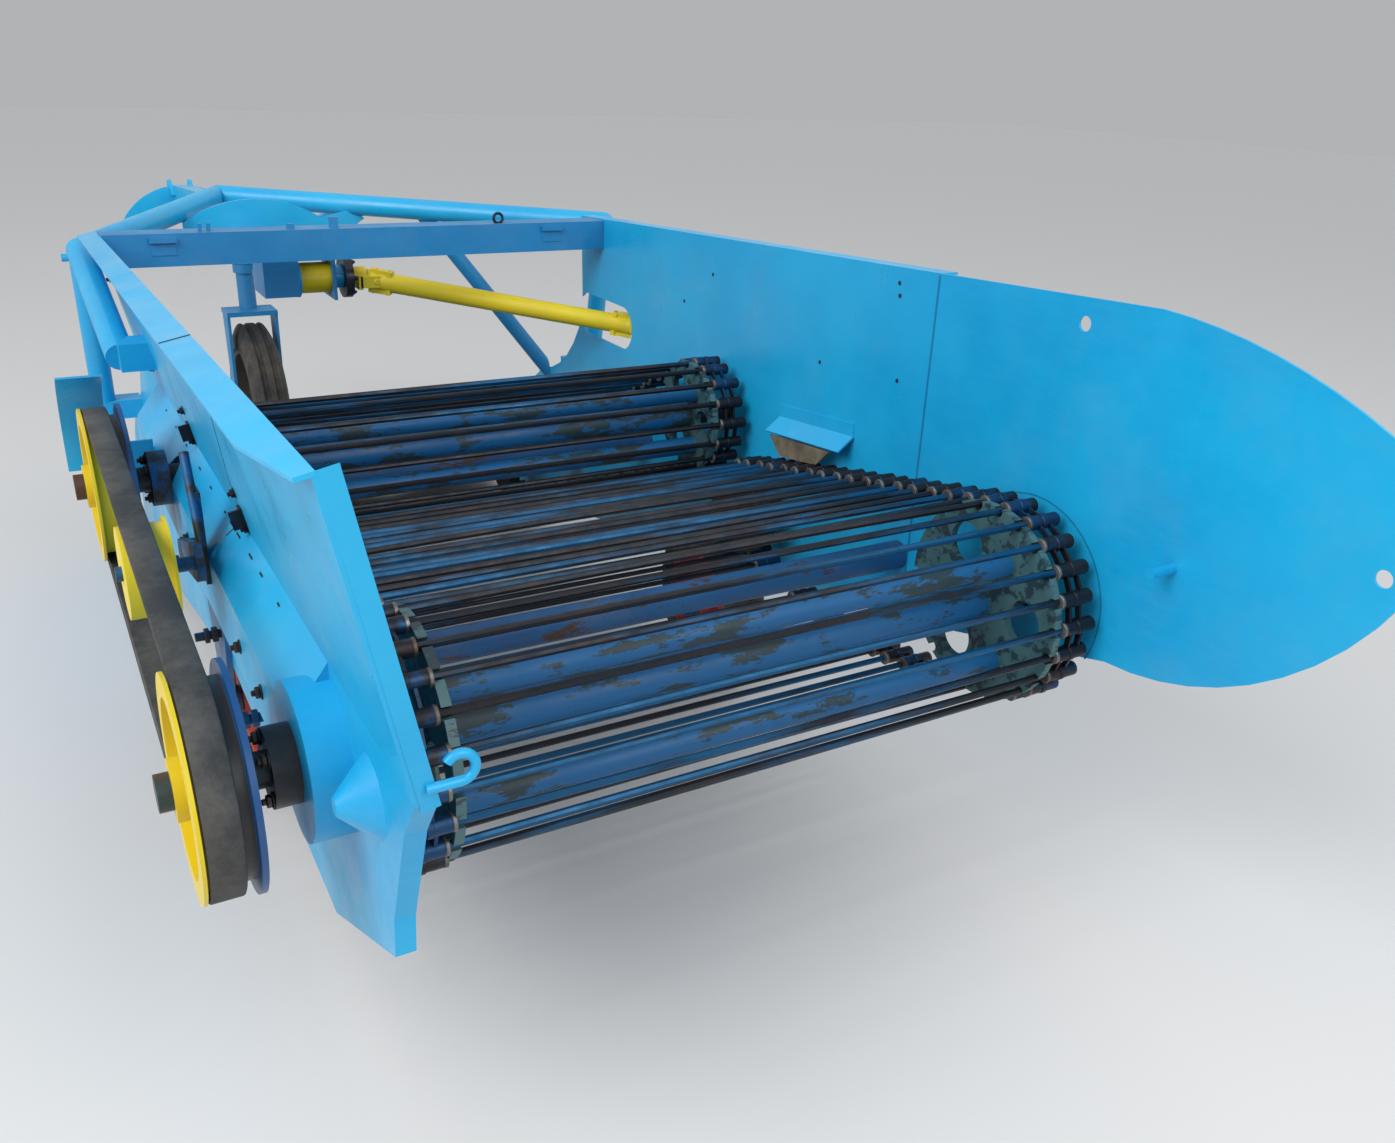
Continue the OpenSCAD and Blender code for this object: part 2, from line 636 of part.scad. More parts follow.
// Curved guard in front of the front pulley
guard_r = pulley_d / 2 + 62;
module belt_guard() {
    color(blue) at_datum() {
        side_plate(belt_y - 5, belt_y + 78) translate([drum_span, front_drum_z]) difference() {
            circle(r = guard_r, $fn = 72);
            circle(r = guard_r - 4, $fn = 72);
            polygon([[0, 0], [-400, -400], [-400, 400], [120, 400]]);
            polygon([[0, 0], [-400, -400], [400, -400], [400, -60]]);
        }
        translate([drum_span + guard_r - 6, arm_y, front_drum_z - 55]) cube([6, belt_y - 5 - arm_y, 75]);
        translate([drum_span + guard_r - 66, arm_y, front_drum_z - 55]) cube([60, 6, 50]);
    }
}

module bearings() {
    color(steel) at_datum() for (m = [0, 1]) mirror([0, m, 0]) for (p = [[0, rear_drum_z], [drum_span, front_drum_z]])
        side_plate(arm_y, arm_y + bearing_w) difference() {
            translate(p) circle(d = 110, $fn = 48);
            translate(p) circle(d = shaft_d + 2 * fit, $fn = 48);
        }
}

// Bolted angle on the right sheet with a rubber flap that closes the gap between the two webs
flap_x = 545;
flap_len = 282;
flap_z = 775;
module flap_angle() {
    color(blue) at_datum() translate([flap_x, -half, flap_z + 28]) rotate([0, 5.7, 0]) {
        translate([0, 0, -30]) cube([flap_len, 4, 30]);
        translate([0, 0, -30]) rotate([-35, 0, 0]) cube([flap_len, 52, 4]);
    }
}

module flap() {
    color(sand) at_datum() translate([flap_x + 25, -half + 42, flap_z - 38]) rotate([0, 5.7, 0]) rotate([90, 0, 0])
        linear_extrude(5, center = true) polygon([[0, 0], [flap_len - 50, 0], [flap_len - 90, -44], [50, -38]]);
}

// Small hook on the left sheet's rear lip
hook_x = -440;
hook_z = 750;
module rear_hook() {
    color(blue) at_datum() {
        cross_bar(hook_x, hook_z, half - lip_w - 36, half - lip_w, 14, 24);
        translate([hook_x, half - lip_w - 36, hook_z + 17]) mirror([0, 1, 0]) rotate([0, 90, 0])
            rotate_extrude(angle = 235, $fn = 48) translate([17, 0]) circle(d = 12, $fn = 24);
    }
}

wheel_y = half - 17 - wheel_w / 2;
module axle() {
    color(deep_blue) at_datum() {
        cross_bar(axle_x, wheel_d / 2, -outer, outer, axle_d, 48);
        for (m = [0, 1]) mirror([0, m, 0]) {
            side_plate(outer, outer + 12) polygon([[axle_x - 45, wheel_d / 2 - 35], [axle_x + 45, wheel_d / 2 - 35],
                [axle_x + 100, 430], [axle_x - 100, 430]]);
            // Collars that keep the wheel in its place
            cross_bar(axle_x, wheel_d / 2, wheel_y - wheel_w / 2 - 26, wheel_y - wheel_w / 2 - 7, 60);
            cross_bar(axle_x, wheel_d / 2, wheel_y + wheel_w / 2 + 7, half, 60);
        }
    }
}

// Steel rim turned about the wheel's axis, with a disc, two flanges and a running bore
module rim(d, w, bore) {
    r = d / 2;
    hub = bore / 2 + 18;
    rotate([90, 0, 0]) rotate_extrude($fn = 72) polygon([[bore / 2 + fit, -w / 2 - 4], [hub, -w / 2 - 4],
        [hub, -6], [r - 16, -6], [r - 16, -w / 2 + 8], [r + 5, -w / 2 + 8], [r + 5, -w / 2 + 12],
        [r - 8, -w / 2 + 16], [r - 8, w / 2 - 16], [r + 5, w / 2 - 12], [r + 5, w / 2 - 8],
        [r - 16, w / 2 - 8], [r - 16, 0], [hub, 0], [hub, w / 2 + 4], [bore / 2 + fit, w / 2 + 4]]);
}

// Tyre that seats between the rim's flanges
module tyre(rim_d, d, w) {
    r = rim_d / 2;
    h = d / 2 - r;
    rotate([90, 0, 0]) rotate_extrude($fn = 60) polygon([[r - 8, -w / 2 + 16], [r + 5, -w / 2 + 12],
        [r + 5, -w / 2 + 6], [r + h * 0.4, -w / 2], [d / 2 - 12, -w / 2 + 5], [d / 2, -w / 4],
        [d / 2, w / 4], [d / 2 - 12, w / 2 - 5], [r + h * 0.4, w / 2], [r + 5, w / 2 - 6],
        [r + 5, w / 2 - 12], [r - 8, w / 2 - 16]]);
}

module at_wheel(s) { translate([axle_x, s * wheel_y, wheel_d / 2]) children(); }
module left_rim() { color(red) at_datum() at_wheel(1) rim(wheel_rim_d, wheel_w, axle_d); }
module left_tyre() { color(rubber) at_datum() at_wheel(1) tyre(wheel_rim_d, wheel_d, wheel_w); }
module right_rim() { color(red) at_datum() at_wheel(-1) rim(wheel_rim_d, wheel_w, axle_d); }
module right_tyre() { color(rubber) at_datum() at_wheel(-1) tyre(wheel_rim_d, wheel_d, wheel_w); }

sleeve_z = 790;
sleeve_h = 215;
module post_sleeve() {
    color(blue) at_datum() {
        translate([post_x, post_y, sleeve_z]) difference() {
            cylinder(d = post_d + 16, h = sleeve_h, $fn = 48);
            translate([0, 0, -1]) cylinder(d = post_d + 2 * fit, h = sleeve_h + 2, $fn = 48);
        }
        difference() {
            translate([post_x - 45, post_y, spine_z + 10]) cube([90, hitch_y - ear_gap / 2 - post_y, 34]);
            translate([post_x, post_y, sleeve_z]) cylinder(d = post_d + 12, h = sleeve_h + 20, $fn = 48);
        }
    }
}

fork_in = gauge_w / 2 + 16;
crown_z = gauge_d + 35;
module gauge_fork() {
    color(deep_blue) at_datum() translate([post_x, post_y, 0]) {
        translate([0, 0, crown_z]) cylinder(d = post_d, h = sleeve_z + sleeve_h + gap - crown_z, $fn = 48);
        translate([0, 0, sleeve_z + sleeve_h + gap]) cylinder(d = post_d + 16, h = 12, $fn = 48);
        translate([0, 0, sleeve_z - gap - 30]) cylinder(d = post_d + 16, h = 30, $fn = 48);
        translate([-trail - 35, -fork_in - 10, crown_z]) cube([trail + 75, 2 * fork_in + 20, 16]);
        for (s = [-1, 1]) translate([0, s * (fork_in + 5), 0]) side_plate(-5, 5)
            polygon([[-trail - 30, crown_z], [20, crown_z], [-trail + 24, gauge_d / 2 - 30],
                [-trail - 24, gauge_d / 2 - 30]]);
        cross_bar(-trail, gauge_d / 2, -fork_in, fork_in, gauge_axle_d, 48);
    }
}

module at_gauge() { translate([post_x - trail, post_y, gauge_d / 2]) children(); }
module gauge_rim() { color(red) at_datum() at_gauge() rim(gauge_rim_d, gauge_w, gauge_axle_d); }
module gauge_tyre() { color(rubber) at_datum() at_gauge() tyre(gauge_rim_d, gauge_d, gauge_w); }

left_sheet();
right_sheet();
right_lobe();
left_rail();
right_rail();
cross_beam();
bed_tubes();
rear_web();
digging_web();
rear_drum();
front_drum();
tail_roller();
nose_roller();
share();
left_tube();
right_tube();
left_leg();
right_leg();
hood_plate();
hitch_bow();
lower_stays();
spine();
gearbox();
clutch();
drive_shaft();
chain_case();
brace();
front_pulley();
rear_pulley();
drive_belt();
tension_roller();
tension_arm();
belt_guard();
bearings();
flap_angle();
flap();
rear_hook();
axle();
left_rim();
left_tyre();
right_rim();
right_tyre();
post_sleeve();
gauge_fork();
gauge_rim();
gauge_tyre();
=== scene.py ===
# %% [markdown]
# This lesson dresses a potato harvester. The machine lifts a ridge of soil with a share, shakes the soil
# through two endless webs of steel rods, and drops the potatoes behind it.
# The measured frame comes first. Its solids are right in place and size, so most of them only get a finish.
# The webs, tyres, belt, bolts and other small work are made here on top of it.

# %% Load the measured frame
import bmesh
import bpy
import numpy as np
from mathutils import Matrix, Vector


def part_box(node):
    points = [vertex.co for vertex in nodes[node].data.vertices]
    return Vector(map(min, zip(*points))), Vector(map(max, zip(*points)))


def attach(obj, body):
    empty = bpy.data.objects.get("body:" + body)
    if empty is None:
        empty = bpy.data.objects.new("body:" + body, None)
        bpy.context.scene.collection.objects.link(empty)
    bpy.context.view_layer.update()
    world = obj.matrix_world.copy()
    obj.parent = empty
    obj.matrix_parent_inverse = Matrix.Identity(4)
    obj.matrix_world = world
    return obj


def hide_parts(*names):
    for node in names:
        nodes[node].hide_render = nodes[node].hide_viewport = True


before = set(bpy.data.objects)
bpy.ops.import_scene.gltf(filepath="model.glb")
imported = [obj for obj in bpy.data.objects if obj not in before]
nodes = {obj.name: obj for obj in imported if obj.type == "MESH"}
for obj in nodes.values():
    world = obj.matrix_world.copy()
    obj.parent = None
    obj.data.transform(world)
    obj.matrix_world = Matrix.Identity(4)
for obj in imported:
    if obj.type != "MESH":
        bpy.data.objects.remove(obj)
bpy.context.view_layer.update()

# %% [markdown]
# The camera stands behind the machine at eye height and looks forwards over the rear web.
# Its three axes were fitted to straight edges of the picture, so they are written as numbers.
# A camera looks along its own minus Z, so its third axis is the view turned round.

# %% Camera
def stand(thing, axes, where):
    """Places an object. The columns of its matrix are its three axes and the place where it stands."""
    placing = np.eye(4)
    placing[:3, :3] = np.array(axes).T
    placing[:3, 3] = where
    thing.matrix_world = Matrix(placing.tolist())


view_right = np.array([-0.49905, -0.86571, 0.03879])
view_up = np.array([0.35928, -0.16597, 0.91835])
view_ahead = np.array([0.78859, -0.47223, -0.39386])
eye = np.array([-2.84994, 0.886, 1.50])

camera_data = bpy.data.cameras.new("view_camera")
camera_data.sensor_fit = "HORIZONTAL"
camera_data.sensor_width = 36
camera_data.lens = 30.58
camera = bpy.data.objects.new("view_camera", camera_data)
bpy.context.scene.collection.objects.link(camera)
stand(camera, (view_right, view_up, -view_ahead), eye)
bpy.context.scene.camera = camera
bpy.context.scene.view_settings.view_transform = "Standard"

# %% [markdown]
# Paint on a farm machine is never one colour. It is brushed on in strokes, bleached on top, and knocked off
# where stones hit it. One helper makes all the paints: broad noise shifts the tone, stretched fine noise
# gives brush marks, and a sharply cut noise uncovers what lies under the paint.

# %% Paint helper
def noise(tree, coords, scale, detail, rough=0.6):
    """Noise from 0 to 1. A higher scale makes it finer, and detail adds smaller and smaller waves to it."""
    node = tree.nodes.new("ShaderNodeTexNoise")
    node.inputs["Scale"].default_value = scale
    node.inputs["Detail"].default_value = detail
    node.inputs["Roughness"].default_value = rough
    tree.links.new(coords, node.inputs["Vector"])
    return node.outputs["Fac"]


def ramp(tree, value, low, high, first=0.0, last=1.0):
    """Maps value from low..high to first..last and holds it level outside."""
    node = tree.nodes.new("ShaderNodeMapRange")
    for key, number in zip(("From Min", "From Max", "To Min", "To Max"), (low, high, first, last)):
        node.inputs[key].default_value = number
    tree.links.new(value, node.inputs["Value"])
    return node.outputs["Result"]


def blend(tree, amount, first, second):
    """A colour between first and second. Each may be a colour or the output of another node."""
    node = tree.nodes.new("ShaderNodeMix")
    node.data_type = "RGBA"
    tree.links.new(amount, node.inputs["Factor"])
    for socket, colour in ((node.inputs[6], first), (node.inputs[7], second)):
        if isinstance(colour, tuple):
            socket.default_value = (*colour, 1)
        else:
            tree.links.new(colour, socket)
    return node.outputs[2]


def stretched(tree, factors):
    """Object coordinates multiplied by one factor on each axis. A small factor draws the pattern out."""
    coords = tree.nodes.new("ShaderNodeTexCoord")
    mapping = tree.nodes.new("ShaderNodeMapping")
    mapping.inputs["Scale"].default_value = factors
    tree.links.new(coords.outputs["Object"], mapping.inputs["Vector"])
    return mapping.outputs["Vector"]


def by_place(tree, axis, low, high, stops):
    """Colours in bands along one object axis. stops holds pairs: where a band starts, in metres, and its colour."""
    coords = tree.nodes.new("ShaderNodeTexCoord")
    split = tree.nodes.new("ShaderNodeSeparateXYZ")
    tree.links.new(coords.outputs["Object"], split.inputs["Vector"])
    bands = tree.nodes.new("ShaderNodeValToRGB")
    bands.color_ramp.interpolation = "CONSTANT"
    tree.links.new(ramp(tree, split.outputs[axis], low, high), bands.inputs["Fac"])
    marks = bands.color_ramp.elements
    while len(marks) < len(stops):
        marks.new(1.0)
    for mark, (start, colour) in zip(marks, stops):
        mark.position = (start - low) / (high - low)
        mark.color = (*colour, 1)
    return bands.outputs["Color"]


def start_finish(name):
    """A new material with its node tree and its main shader."""
    finish = bpy.data.materials.new(name)
    finish.use_nodes = True
    return finish, finish.node_tree, finish.node_tree.nodes["Principled BSDF"]


def bumped(tree, shader, height, strength, distance):
    """Tilts the surface's normals as if it rose by distance, in metres, where height is 1."""
    node = tree.nodes.new("ShaderNodeBump")
    node.inputs["Strength"].default_value = strength
    node.inputs["Distance"].default_value = distance
    tree.links.new(height, node.inputs["Height"])
    tree.links.new(node.outputs["Normal"], shader.inputs["Normal"])


def paint(name, colour, faded, under, bare=0.70, rough=0.42, dusty=0.25, grain=(1, 1, 1)):
    """Brushed paint. bare is the noise level above which the paint has gone and shows what is under it. colour
    may be a list for by_place, and then it holds for both tones. Soil covers the film in patches, and from
    half a metre down it gets thicker towards the ground."""
    finish, tree, shader = start_finish(name)
    if isinstance(colour, list):
        colour = faded = by_place(tree, *colour)
    plain = stretched(tree, (1, 1, 1))
    tone = ramp(tree, noise(tree, plain, 2.2, 6), 0.35, 0.68)
    strokes = ramp(tree, noise(tree, stretched(tree, (3, 3, 22)), 6, 4), 0.40, 0.75, 0.0, 0.35)
    coat = blend(tree, tone, colour, faded)
    coat = blend(tree, strokes, coat, faded)
    chips = ramp(tree, noise(tree, stretched(tree, grain), 24, 10, 0.72), bare, bare + 0.02)
    coat = blend(tree, chips, coat, under)
    film = ramp(tree, noise(tree, plain, 5, 8, 0.7), 0.50, 0.80, 0.0, dusty)
    coat = blend(tree, film, coat, soil)
    height_up = tree.nodes.new("ShaderNodeSeparateXYZ")
    tree.links.new(plain, height_up.inputs["Vector"])
    low_down = tree.nodes.new("ShaderNodeMath")
    low_down.operation = "MULTIPLY"
    tree.links.new(ramp(tree, height_up.outputs["Z"], 0.50, 0.05, 0.0, 0.8), low_down.inputs[0])
    tree.links.new(ramp(tree, noise(tree, plain, 4, 9, 0.75), 0.44, 0.60), low_down.inputs[1])
    coat = blend(tree, low_down.outputs["Value"], coat, soil)
    tree.links.new(coat, shader.inputs["Base Color"])
    sheen = ramp(tree, noise(tree, plain, 7, 5), 0.3, 0.7, rough - 0.08, rough + 0.16)
    tree.links.new(sheen, shader.inputs["Roughness"])
    bumped(tree, shader, noise(tree, plain, 9, 6, 0.55), 0.35, 0.004)
    return finish


blue, pale_blue = (0.004, 0.310, 0.610), (0.010, 0.400, 0.700)
dark_blue, old_blue, tube_blue = (0.005, 0.062, 0.190), (0.008, 0.110, 0.280), (0.001, 0.100, 0.270)
yellow, pale_yellow = (0.700, 0.520, 0.006), (0.800, 0.640, 0.030)
teal, bare_green = (0.045, 0.120, 0.130), (0.014, 0.036, 0.046)
rust, black, dull_steel = (0.060, 0.026, 0.014), (0.014, 0.014, 0.016), (0.16, 0.15, 0.14)
bare_metal, old_iron, soil = (0.030, 0.028, 0.030), (0.060, 0.045, 0.030), (0.30, 0.25, 0.18)

blue_paint = paint("blue_paint", blue, pale_blue, bare_metal, bare=0.735, rough=0.34, dusty=0.10)
beam_paint = paint("beam_paint", (0.006, 0.150, 0.360), (0.010, 0.210, 0.460), bare_metal, dusty=0.15)
deep_blue_paint = paint("deep_blue_paint", dark_blue, old_blue, rust, bare=0.575, rough=0.50, dusty=0.25,
                        grain=(1, 0.35, 1))
# From right to left, a drum is a bare shaft end, a black end piece, a star wheel, the painted tube, the
# other star wheel, a black end piece and a rusty shaft end
drum_paint = paint("drum_paint", ["Y", -0.90, 0.90, [(-0.90, dull_steel), (-0.662, black), (-0.563, teal),
                                                    (-0.545, tube_blue), (0.478, teal), (0.496, black),
                                                    (0.770, rust)]],
                   old_blue, bare_green, bare=0.520, rough=0.46, dusty=0.05, grain=(1, 0.30, 1))
yellow_paint = paint("yellow_paint", yellow, pale_yellow, old_iron, bare=0.66, rough=0.36, dusty=0.20)
# A pulley's inner flange is blue, its rim under the belt is black, and its outer face is yellow
pulley_paint = paint("pulley_paint", ["Y", 0.70, 0.80, [(0.70, dark_blue), (0.726, black), (0.756, yellow)]],
                     yellow, old_iron, bare=0.66, rough=0.36, dusty=0.15)
# The slip clutch, from the shaft to the gearbox: yellow yoke, black disc, blue ring and yellow cup
clutch_paint = paint("clutch_paint", ["Y", -0.05, 0.20, [(-0.05, yellow), (0.0085, black), (0.032, blue),
                                                        (0.062, yellow)]],
                     yellow, old_iron, bare=0.68, rough=0.36, dusty=0.15)
red_paint = paint("red_paint", (0.420, 0.012, 0.008), (0.560, 0.030, 0.020), (0.050, 0.035, 0.030), dusty=0.45)
print("paints made")

# %% [markdown]
# Rods, rollers and bearings are bare steel that soil keeps rubbing. They are dark, with brown rust in
# patches. Some blue overspray is left on the rods, drawn out along them.

# %% Steel, rubber and flap finishes
def worn_steel(name, dark, brown, spray=None, along=(1, 1, 1), metal=0.55, rough=0.45):
    """Dark steel. Brown rust follows broad noise; spray, if given, is a colour that covers parts of it."""
    finish, tree, shader = start_finish(name)
    plain = stretched(tree, (1, 1, 1))
    coat = blend(tree, ramp(tree, noise(tree, plain, 11, 8, 0.7), 0.45, 0.70), dark, brown)
    if spray:
        covered = ramp(tree, noise(tree, stretched(tree, along), 9, 6, 0.65), 0.50, 0.58)
        coat = blend(tree, covered, coat, spray)
    tree.links.new(coat, shader.inputs["Base Color"])
    shader.inputs["Metallic"].default_value = metal
    sheen = ramp(tree, noise(tree, plain, 30, 6), 0.3, 0.7, rough - 0.1, rough + 0.2)
    tree.links.new(sheen, shader.inputs["Roughness"])
    bumped(tree, shader, noise(tree, plain, 160, 5, 0.7), 0.4, 0.0012)
    return finish


def dusty_rubber(name, dark, dust, fine=90.0):
    """Dull rubber with dust in broad patches and a pitted face. fine is the scale of the pits."""
    finish, tree, shader = start_finish(name)
    plain = stretched(tree, (1, 1, 1))
    coat = blend(tree, ramp(tree, noise(tree, plain, 6, 9, 0.75), 0.42, 0.72), dark, dust)
    tree.links.new(coat, shader.inputs["Base Color"])
    shader.inputs["Roughness"].default_value = 0.75
    bumped(tree, shader, noise(tree, plain, fine, 6, 0.7), 0.5, 0.0015)
    return finish


rod_steel = worn_steel("rod_steel", (0.007, 0.012, 0.020), (0.024, 0.015, 0.014), (0.002, 0.070, 0.165),
                       along=(1, 0.12, 1), rough=0.36)
sleeve_steel = worn_steel("sleeve_steel", (0.010, 0.012, 0.018), (0.026, 0.018, 0.016), (0.005, 0.045, 0.120),
                          rough=0.40)
ring_steel = worn_steel("ring_steel", (0.200, 0.190, 0.180), (0.080, 0.042, 0.022), metal=0.8)
gauge_iron = worn_steel("gauge_iron", (0.050, 0.042, 0.036), (0.080, 0.048, 0.030), metal=0.2, rough=0.6)
shadow_line = worn_steel("shadow_line", (0.004, 0.010, 0.018), (0.012, 0.012, 0.014), metal=0.0, rough=0.7)
weld_blue = paint("weld_blue", (0.002, 0.150, 0.340), (0.003, 0.200, 0.420), bare_metal)
roller_steel = worn_steel("roller_steel", (0.030, 0.027, 0.028), (0.085, 0.042, 0.022))
share_steel = worn_steel("share_steel", (0.110, 0.105, 0.100), (0.090, 0.045, 0.022), metal=0.8, rough=0.38)
bearing_iron = worn_steel("bearing_iron", (0.022, 0.024, 0.028), (0.035, 0.030, 0.026), (0.008, 0.090, 0.240),
                          metal=0.3)
bolt_steel = worn_steel("bolt_steel", (0.040, 0.038, 0.040), (0.080, 0.042, 0.022), metal=0.7)
belt_rubber = dusty_rubber("belt_rubber", (0.030, 0.029, 0.028), (0.120, 0.108, 0.094))
tyre_rubber = dusty_rubber("tyre_rubber", (0.016, 0.016, 0.017), (0.110, 0.090, 0.066), fine=140)
flap_rubber = dusty_rubber("flap_rubber", (0.090, 0.070, 0.048), (0.330, 0.270, 0.180), fine=60)
print("steel and rubber made")

# %% [markdown]
# Every solid of the frame that stays in view gets its finish in its own material slots. A short table has
# one row for a finish, so a repaint is one moved word.

# %% Finish the solids that stay
finish_table = (
    (blue_paint, "left_sheet right_sheet right_lobe left_rail right_rail left_tube right_tube left_leg right_leg "
                 "hood_plate hitch_bow lower_stays spine chain_case belt_guard flap_angle post_sleeve"),
    (beam_paint, "cross_beam gearbox brace gauge_fork"), (deep_blue_paint, "bed_tubes axle"),
    (drum_paint, "rear_drum front_drum"), (pulley_paint, "front_pulley rear_pulley"), (clutch_paint, "clutch"),
    (yellow_paint, "drive_shaft tension_roller"), (red_paint, "left_rim right_rim"),
    (roller_steel, "tail_roller nose_roller"), (share_steel, "share"), (gauge_iron, "gauge_rim"),
    (bearing_iron, "tension_arm bearings"), (flap_rubber, "flap"),
)
finished = 0
for finish, names in finish_table:
    for name in names.split():
        slots = nodes[name].data.materials
        if len(slots):
            for k in range(len(slots)):
                slots[k] = finish
        else:
            slots.append(finish)
        finished += 1
print(finished, "solids finished")

# %% [markdown]
# New pieces are closed skins. A shape is a pair: an array of points and a list of face arrays. Rings of
# points are joined by quads, and the two end rings are closed by one flat face each.

# %% Shape helpers
def skin(rings, round_end=False):
    """Quads between ring i and ring i + 1, from point j to point j + 1. round_end joins the last ring to the
    first; otherwise each end ring becomes one flat face."""
    count, n, _ = rings.shape
    last = count if round_end else count - 1
    i, j = np.meshgrid(np.arange(last), np.arange(n), indexing="ij")
    here, side = i * n + j, i * n + (j + 1) % n
    ahead, across = (i + 1) % count * n + j, (i + 1) % count * n + (j + 1) % n
    faces = [np.stack([here, side, across, ahead], -1).reshape(-1, 4)]
    if not round_end:
        faces.append(np.array([np.arange(n)[::-1], np.arange(n) + (count - 1) * n]))
    return rings.reshape(-1, 3), faces


def turned(profile, sides):
    """A profile of (radius, height) turned round the z axis: x = r cos t, y = r sin t, z = height."""
    t = np.arange(sides) * 2 * np.pi / sides
    r, h = np.array(profile, float).T
    return np.stack([r[:, None] * np.cos(t), r[:, None] * np.sin(t), np.repeat(h[:, None], sides, 1)], -1)


def stick(radius, low, high, sides=12, edge=0.0008):
    """A round bar along z from low to high with small chamfers at its ends."""
    corners = [(radius - edge, low), (radius, low + edge), (radius, high - edge), (radius - edge, high)]
    return skin(turned(corners, sides))


def together(*shapes):
    """Puts shapes into one: points in a row, and each face array moved on by the points before it."""
    points, faces, start = [], [], 0
    for p, fs in shapes:
        points.append(p)
        faces += [f + start for f in fs]
        start += len(p)
    return np.concatenate(points), faces


def repeated(shape, places):
    """Copies of a shape. places has one 4 x 3 block a copy: its x, y and z axes and its origin, so a point
    (x, y, z) goes to origin + x * first axis + y * second axis + z * third axis."""
    points, faces = shape
    places = np.asarray(places, float)
    moved = np.einsum("pk,ckd->cpd", points, places[:, :3]) + places[:, None, 3]
    step = np.arange(len(places))[:, None, None] * len(points)
    return moved.reshape(-1, 3), [(f[None] + step).reshape(-1, f.shape[1]) for f in faces]


def place(origin, z_axis, x_hint=(1.0, 0.0, 0.0)):
    """A 4 x 3 block whose third axis is z_axis, with the first as near x_hint as a right angle allows. Where the
    two are parallel, the first axis lies near y."""
    z = np.array(z_axis, float) / np.linalg.norm(z_axis)
    x = np.array(x_hint, float) - np.dot(x_hint, z) * z
    if np.linalg.norm(x) < 1e-3:
        x = np.array([0.0, 1.0, 0.0]) - z[1] * z
    x = x / np.linalg.norm(x)
    return np.array([x, np.cross(z, x), z, origin])


def build(name, shape, finish, body="machine", soft_angle=0.6, stands_for=()):
    """Puts a shape into a mesh, turns its faces outwards and smooths all but its sharp edges. stands_for names
    the frame's nodes that the new piece takes the place of."""
    points, faces = shape
    mesh = bpy.data.meshes.new(name)
    mesh.from_pydata(points.tolist(), [], [row for f in faces for row in f.tolist()])
    work = bmesh.new()
    work.from_mesh(mesh)
    bmesh.ops.recalc_face_normals(work, faces=work.faces)
    for edge in work.edges:
        edge.smooth = len(edge.link_faces) == 2 and edge.calc_face_angle(3.0) < soft_angle
    for face in work.faces:
        face.smooth = True
    work.to_mesh(mesh)
    work.free()
    mesh.materials.append(finish)
    piece = bpy.data.objects.new(name, mesh)
    bpy.context.scene.collection.objects.link(piece)
    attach(piece, body)
    if stands_for:
        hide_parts(*stands_for)
    print(name, len(mesh.polygons), "faces")


# %% [markdown]
# The bed is drawn from the rear drum's axle, but the frame's origin lies on the ground in the middle of the
# machine. One small function moves from the first to the second. The measures that several pieces share are
# listed here: a roll is the x and z of its axle and the radius on which a web's rods run round it.

# %% Places on the machine, in metres
shift = np.array([1.44494, 0.034, 0.0])


def at(x, y, z):
    """The frame's place for x ahead of the rear drum's axle, y to the left of the bed's middle and z up."""
    return np.array([x, y, z], float) - shift


half_bed, sheet_thick = 0.625, 0.005
outer_face = half_bed + sheet_thick
fold_z = 0.770
rod_pitch, rod_d = 0.050, 0.012
rear_x, rear_z, rear_teeth = 0.0, 0.635, 22
front_x, front_z, front_teeth = 1.075, 0.695, 16
rear_roll = np.array([rear_x, rear_z, rear_teeth * rod_pitch / 2 / np.pi])
tail_roll = np.array([0.812, 0.532, 0.108])
front_roll = np.array([front_x, front_z, front_teeth * rod_pitch / 2 / np.pi])
nose_roll = np.array([2.330, 0.165, 0.080])
rear_slack = 0.060
gear_x, gear_z = 2.060, 0.905

# %% [markdown]
# A rod web runs like a belt over two rollers. Its path is four stretches: the upper run, the turn round the
# front roller, the lower run, which hangs a little, and the turn round the rear roller.

# %% Path of a web
def loop_path(a, b, s, sag=0.0):
    """Place (x, z), outward direction and whole length of the loop round rolls a and b, at length s. The runs
    lie on the common tangents of the two circles; on the lower run the line moves out by
    4 * sag * u * (1 - u), u going from 0 to 1 along it."""
    between = b[:2] - a[:2]
    span = np.hypot(*between)
    tilt = np.arcsin((a[2] - b[2]) / span)
    run = span * np.cos(tilt)
    up = np.arctan2(between[1], between[0]) + np.pi / 2 - tilt
    down = up - np.pi + 2 * tilt
    front, back = b[2] * (np.pi - 2 * tilt), a[2] * (np.pi + 2 * tilt)
    whole = 2 * run + front + back
    s = np.mod(s, whole)
    angle = np.where(s < run, up, np.where(s < run + front, up - (s - run) / b[2],
             np.where(s < 2 * run + front, down, down - (s - 2 * run - front) / a[2])))
    on_b = (s >= run) & (s < 2 * run + front)
    below = on_b & (s >= run + front)
    centre = np.where(on_b[:, None], b[:2], a[:2])
    radius = np.where(on_b, b[2], a[2])
    along = np.where(s < run, s, np.where(below, s - run - front, 0.0))
    out = np.stack([np.cos(angle), np.sin(angle)], -1)
    ahead = np.stack([out[:, 1], -out[:, 0]], -1)
    u = along / run
    hang = np.where(below, 4 * sag * u * (1 - u), 0.0)
    return centre + out * (radius + hang)[:, None] + ahead * along[:, None], out, whole


# %% [markdown]
# Each web has one steel rod every 50 mm. A rod ends in a short sleeve, and flat links between the sleeves
# make the two side chains that the star wheels pull. Old rods are bent a little, so each one gets its own
# small bow.

